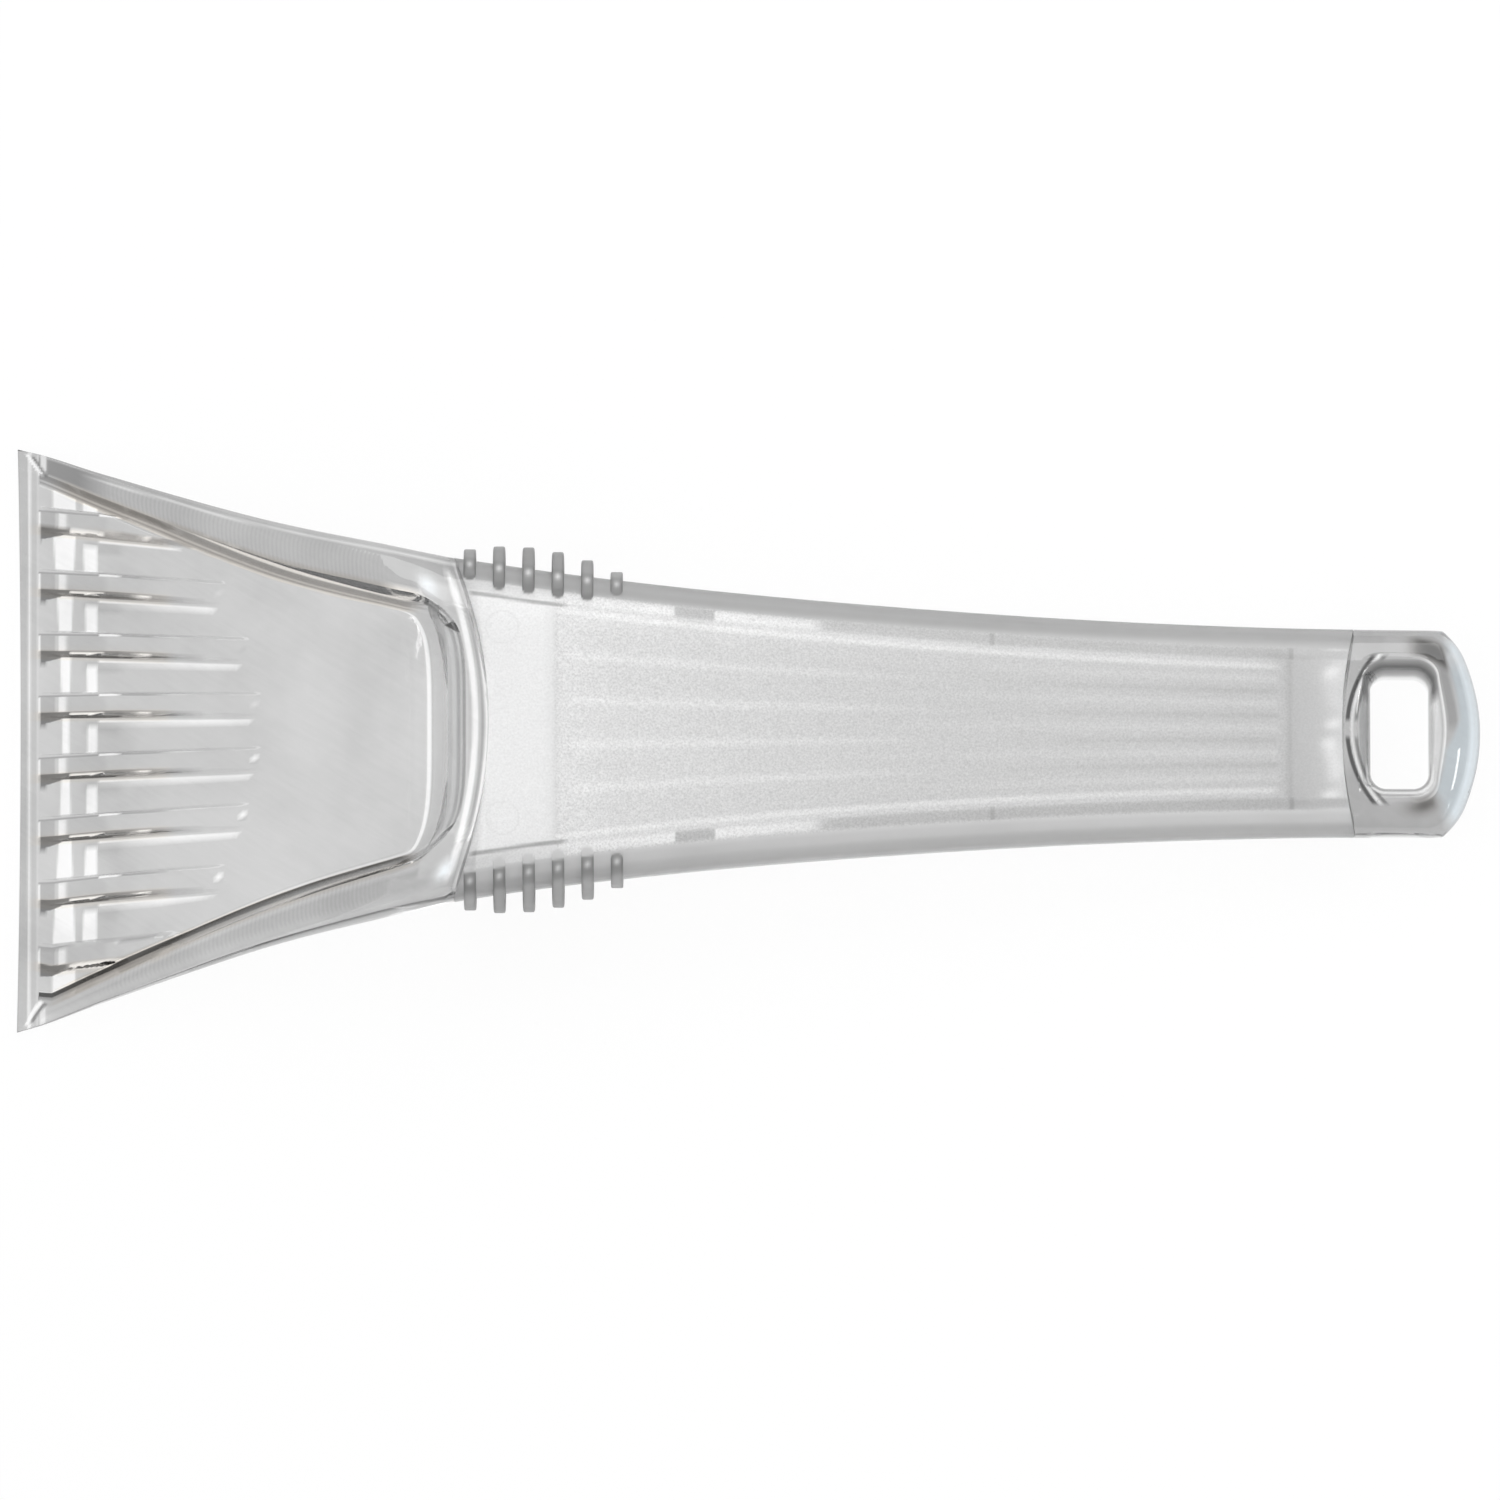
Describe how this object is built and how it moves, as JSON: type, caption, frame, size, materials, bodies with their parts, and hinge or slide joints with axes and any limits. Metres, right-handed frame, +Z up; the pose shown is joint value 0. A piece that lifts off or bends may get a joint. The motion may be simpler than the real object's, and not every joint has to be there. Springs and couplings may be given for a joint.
{
  "type": "ice scraper",
  "caption": "Clear moulded ice scraper: a broad blade with a ribbed tray, a hollow frosted handle with grip fins, and a hanging loop.",
  "frame": {"origin": "centre of the footprint, on the surface that the scraper lies on", "axes": "+X along the tool from the blade to the hanging loop, +Y across it, +Z up out of the tray"},
  "size_m": [0.2248, 0.0902, 0.0251],
  "materials": {
    "clear_plastic": "polished clear polystyrene",
    "frosted_plastic": "frosted translucent, fine spark-eroded grain"
  },
  "bodies": {
    "root": {"scraper_head": "clear_plastic", "upper_handle_shell": "frosted_plastic", "lower_handle_shell": "frosted_plastic", "hanging_loop": "clear_plastic"}
  },
  "joints": []
}
